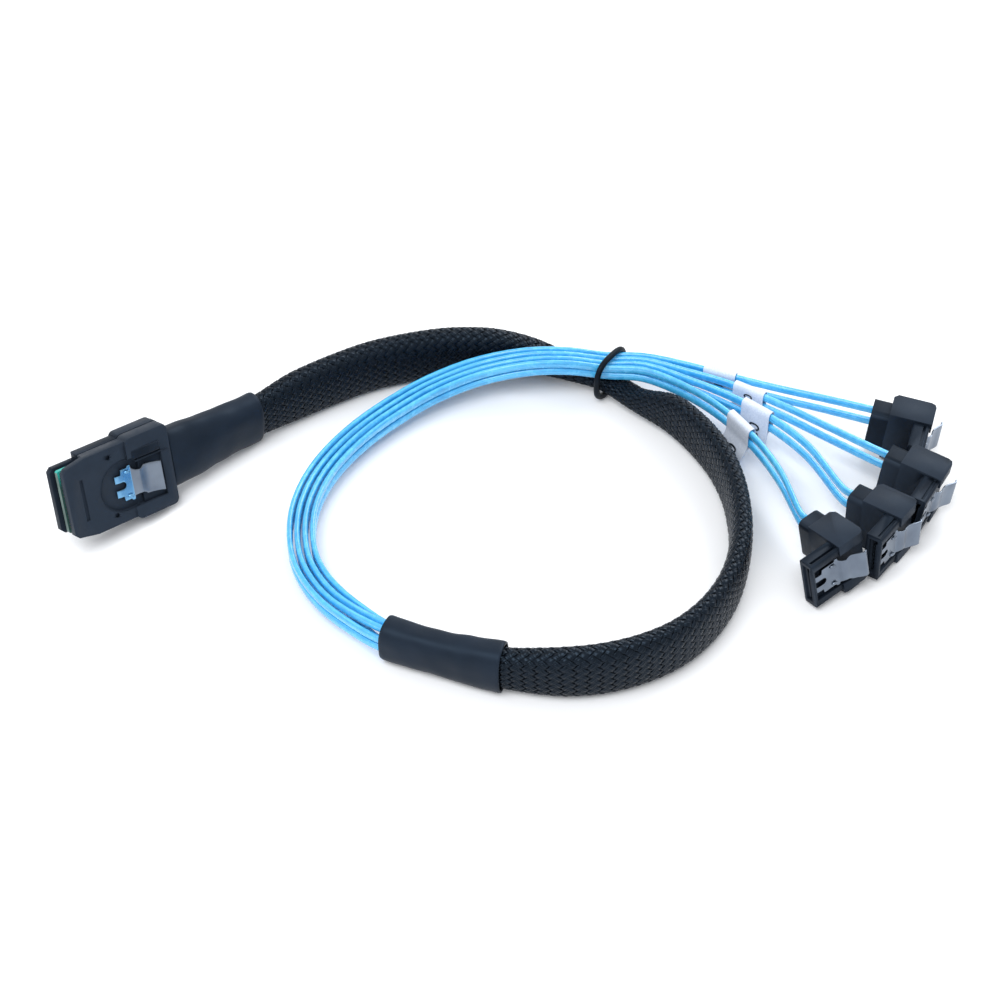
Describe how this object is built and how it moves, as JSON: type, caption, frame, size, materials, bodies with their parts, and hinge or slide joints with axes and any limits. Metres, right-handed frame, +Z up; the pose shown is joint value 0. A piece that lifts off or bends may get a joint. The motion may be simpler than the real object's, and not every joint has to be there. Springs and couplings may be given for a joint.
{
  "type": "mini sas breakout cable",
  "caption": "Breakout cable with a flat latched host plug, a braided trunk, and flat blue wires that fan out to right-angle latched drive plugs.",
  "frame": {"origin": "on the table, at the bottom centre of the box that holds the host plug and the drive plugs as the cable lies looped", "axes": "+X from the host plug towards the drive plugs, +Y across the loop away from the viewer, +Z up from the table"},
  "size_m": [0.2096, 0.1127, 0.0237],
  "materials": {
    "housing": "fine moulded satin, dark blue-black",
    "heat_shrink": "smooth satin polyolefin, dark grey",
    "potting": "dull moulded",
    "circuit_board": "green solder mask over fibreglass",
    "latch_steel": "stamped spring steel",
    "braid": "woven black monofilament",
    "wire_jacket": "light blue foil-wrapped film, glossy",
    "rubber": "smooth black",
    "paper": "white label paper",
    "contact_insulator": "moulded insulator"
  },
  "bodies": {
    "cable": {"plug_latch_shell": "housing", "plug_back_shell": "housing", "sata_body_1": "housing", "sata_body_2": "housing", "sata_body_3": "housing", "sata_body_4": "housing", "plug_heatshrink": "heat_shrink", "breakout_heatshrink": "heat_shrink", "plug_potting": "potting", "paddle_card": "circuit_board", "braided_sleeve": "braid", "trunk_wires": "wire_jacket", "strand_1a": "wire_jacket", "strand_1b": "wire_jacket", "strand_2a": "wire_jacket", "strand_2b": "wire_jacket", "strand_3a": "wire_jacket", "strand_3b": "wire_jacket", "strand_4a": "wire_jacket", "strand_4b": "wire_jacket", "tie_ring": "rubber", "label_flag_1": "paper", "label_flag_2": "paper", "label_flag_3": "paper", "label_flag_4": "paper", "sata_contact_block_1": "contact_insulator", "sata_contact_block_2": "contact_insulator", "sata_contact_block_3": "contact_insulator", "sata_contact_block_4": "contact_insulator"},
    "plug_latch": {"plug_latch": "latch_steel"},
    "sata_latch_1": {"sata_latch_1": "latch_steel"},
    "sata_latch_2": {"sata_latch_2": "latch_steel"},
    "sata_latch_3": {"sata_latch_3": "latch_steel"},
    "sata_latch_4": {"sata_latch_4": "latch_steel"}
  },
  "joints": [
    {"name": "plug_latch_flex", "type": "hinge", "parent": "cable", "child": "plug_latch", "pos_m": [-0.08978, -0.00151, 0.01267], "axis": [-0.0967, 0.3063, 0.947], "range_deg": [0, 4], "stiffness_Nm_per_rad": 0.3},
    {"name": "sata_latch_1_flex", "type": "hinge", "parent": "cable", "child": "sata_latch_1", "pos_m": [0.06948, -0.02749, 0.00777], "axis": [-0.2003, 0.0664, 0.9775], "range_deg": [0, 3.5], "stiffness_Nm_per_rad": 0.3},
    {"name": "sata_latch_2_flex", "type": "hinge", "parent": "cable", "child": "sata_latch_2", "pos_m": [0.08488, -0.01887, 0.00773], "axis": [-0.0412, 0.0322, 0.9986], "range_deg": [0, 3.5], "stiffness_Nm_per_rad": 0.3},
    {"name": "sata_latch_3_flex", "type": "hinge", "parent": "cable", "child": "sata_latch_3", "pos_m": [0.09568, -0.00643, 0.00762], "axis": [0.0598, -0.0359, 0.9976], "range_deg": [0, 3.5], "stiffness_Nm_per_rad": 0.3},
    {"name": "sata_latch_4_flex", "type": "hinge", "parent": "cable", "child": "sata_latch_4", "pos_m": [0.0977, 0.01143, 0.00762], "axis": [0.0499, -0.0157, 0.9986], "range_deg": [0, 3.5], "stiffness_Nm_per_rad": 0.3}
  ]
}
